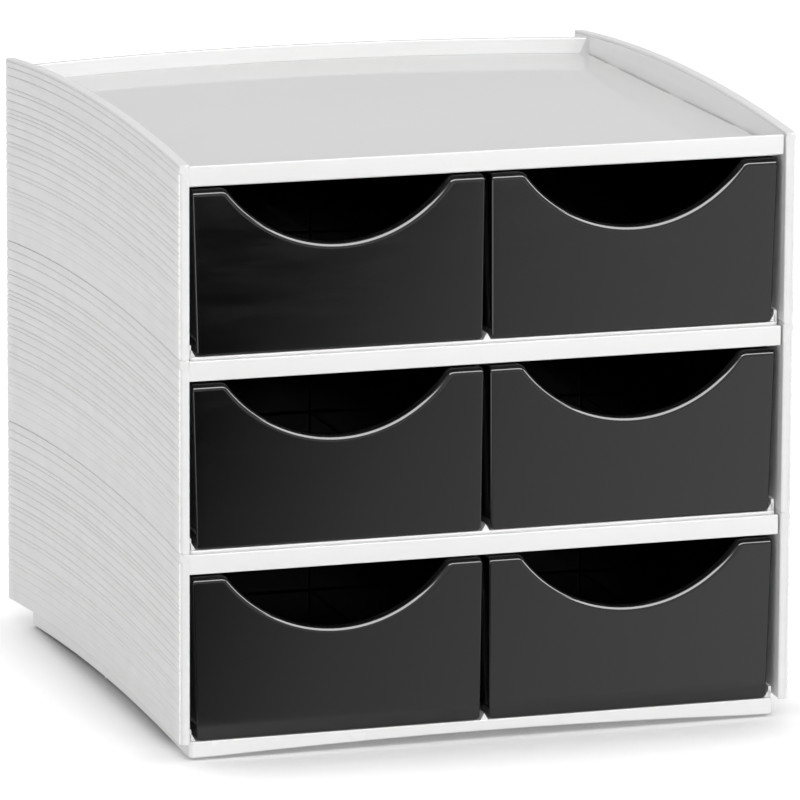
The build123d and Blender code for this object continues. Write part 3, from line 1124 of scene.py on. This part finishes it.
def make_world():
    """Studio light, a little weaker towards the top; nearly white where it is seen or mirrored."""
    world = bpy.data.worlds.new("studio")
    bpy.context.scene.world = world
    world.use_nodes = True
    tree = world.node_tree
    background = tree.nodes["Background"]
    background.inputs["Color"].default_value = (1, 1, 1, 1)
    path = tree.nodes.new("ShaderNodeLightPath").outputs
    direct = calculate(tree, "MAXIMUM", path["Is Camera Ray"], path["Is Transmission Ray"])
    mirrored = path["Is Glossy Ray"]
    height = calculate(tree, "MAXIMUM", coordinates(tree, "Generated")["Z"], 0.0)
    light = calculate(tree, "SUBTRACT", ambient, product(tree, height, ambient_fall))
    for seen, white in ((mirrored, mirrored_white), (direct, background_white)):
        change = product(tree, seen, calculate(tree, "SUBTRACT", white, light))
        light = calculate(tree, "ADD", light, change)
    tree.links.new(light, background.inputs["Strength"])


def flat_sheet(name, corners, material):
    """Stage piece of one face, drawn through four corners."""
    mesh = bpy.data.meshes.new(name)
    mesh.from_pydata(corners, [], [(0, 1, 2, 3)])
    mesh.materials.append(material)
    sheet = new_object(name, mesh)
    return sheet


def across_corners(sides, near, far):
    """Corners of a sheet between two lines along X, each given by its Y and Z."""
    left, right = sides
    return [(left, *near), (right, *near), (right, *far), (left, *far)]


def upright_corners(ends, heights):
    """Corners of an upright sheet between two places on the ground."""
    (near, far), (low, high) = ends, heights
    return [(*near, low), (*far, low), (*far, high), (*near, high)]


def bare_material(name):
    """New material with an empty node tree, and that tree."""
    material = bpy.data.materials.new(name)
    material.use_nodes = True
    material.node_tree.nodes.clear()
    return material, material.node_tree


def openness(tree, reach):
    """1 where nothing is near the floor within reach, less where something is."""
    node = connect(tree, "ShaderNodeAmbientOcclusion", [("Distance", reach)], samples=shade_samples)
    return node.outputs["AO"]


def make_floor():
    """Pale floor that reads white where it is open and keeps the shadow, deeper close to the box."""
    material, tree = bare_material("pale floor")
    place = coordinates(tree, "Object")["Y"]
    direct = seen_directly(tree)
    depth = mapped(tree, place, shade_turn, front_shade, side_shade)
    loss = calculate(tree, "SUBTRACT", 1.0, calculate(tree, "POWER", openness(tree, shade_reach), depth))
    shade = calculate(tree, "SUBTRACT", 1.0, product(tree, direct, loss))
    extra = product(tree, direct, floor_white - floor_grey)
    tone = product(tree, calculate(tree, "ADD", extra, floor_grey), shade)
    colour = output(tree, "ShaderNodeCombineColor", [(0, tone), (1, tone), (2, tone)])
    matt = output(tree, "ShaderNodeBsdfDiffuse", [("Color", colour)])
    closed = calculate(tree, "SUBTRACT", 1.0, openness(tree, under_reach))
    hidden = calculate(tree, "POWER", closed, under_power)
    front = mapped(tree, place, under_turn, under_glow, 0.0)
    lift = product(tree, direct, product(tree, hidden, front))
    glow = output(tree, "ShaderNodeEmission", [("Strength", lift)])
    both = output(tree, "ShaderNodeAddShader", [(0, matt), (1, glow)])
    connect(tree, "ShaderNodeOutputMaterial", [("Surface", both)])
    size = floor_size
    corners = across_corners((-size, size), (-size, floor_level), (size, floor_level))
    flat_sheet("floor", corners, material)


def reflected_only(sheet):
    """The sheet shows in reflections and nowhere else."""
    for kind in ("camera", "diffuse", "transmission", "shadow", "volume_scatter"):
        setattr(sheet, "visible_" + kind, False)


def glowing_card(name, corners, glow):
    """Evenly bright card that shows in reflections only."""
    material, tree = bare_material(name)
    light = output(tree, "ShaderNodeEmission", [("Strength", glow)])
    connect(tree, "ShaderNodeOutputMaterial", [("Surface", light)])
    reflected_only(flat_sheet(name.replace(" ", "_"), corners, material))


def make_reflectors():
    """Cards that the plastic mirrors: two bright ones, a grey one behind and a fading one in front."""
    glowing_card("overhead card", across_corners(overhead_sides, overhead_near, overhead_far), overhead_glow)
    glowing_card("right card", upright_corners(right_ends, right_heights), right_glow)
    glowing_card("rear card", upright_corners(rear_ends, rear_heights), rear_tone)

    fading, tree = bare_material("fading card")
    place = coordinates(tree, "Object")
    slant = product(tree, place["Y"], card_slant)
    across = calculate(tree, "ADD", calculate(tree, "ADD", place["X"], slant), card_shift)
    curve = connect(tree, "ShaderNodeValToRGB", [("Fac", mapped(tree, across, card_span))])
    stops = curve.color_ramp.elements
    while len(stops) < len(card_tones):
        stops.new(0.5)
    for stop, (position, tone) in zip(stops, card_tones):
        stop.position = position
        stop.color = (*grey(tone), 1)
    inputs = [("Color", curve.outputs["Color"]), ("Strength", card_strength)]
    glow = output(tree, "ShaderNodeEmission", inputs)
    connect(tree, "ShaderNodeOutputMaterial", [("Surface", glow)])
    reflected_only(flat_sheet("floor_card", across_corners(card_sides, card_near, card_far), fading))


def area_lamp(name, place, target, size, power):
    """Soft square lamp that looks at a point."""
    lamp = bpy.data.lights.new(name, "AREA")
    lamp.shape = "SQUARE"
    lamp.size = size
    lamp.energy = power
    holder = new_object(name, lamp)
    direction = Vector(target) - Vector(place)
    holder.matrix_world = Matrix.Translation(place) @ direction.to_track_quat("-Z", "Y").to_matrix().to_4x4()
    holder.visible_glossy = False


def make_camera():
    """Camera at the photograph's viewing angle."""
    yaw = camera_yaw
    pitch = camera_pitch
    roll = camera_roll
    forward = Vector((math.sin(yaw) * math.cos(pitch), math.cos(yaw) * math.cos(pitch), -math.sin(pitch)))
    level = Vector((math.cos(yaw), -math.sin(yaw), 0))
    upward = level.cross(forward)
    right = math.cos(roll) * level + math.sin(roll) * upward
    above = math.cos(roll) * upward - math.sin(roll) * level
    rotation = Matrix((right, above, -forward)).transposed().to_4x4()
    data = bpy.data.cameras.new("camera")
    data.sensor_width = camera_sensor
    data.lens = camera_lens
    camera = new_object("camera", data)
    camera.matrix_world = Matrix.Translation(camera_target - forward * camera_distance) @ rotation
    bpy.context.scene.camera = camera


make_world()
make_floor()
make_reflectors()
for lamp in lamps:
    area_lamp(*lamp)
make_camera()
bpy.context.scene.view_settings.view_transform = "Standard"
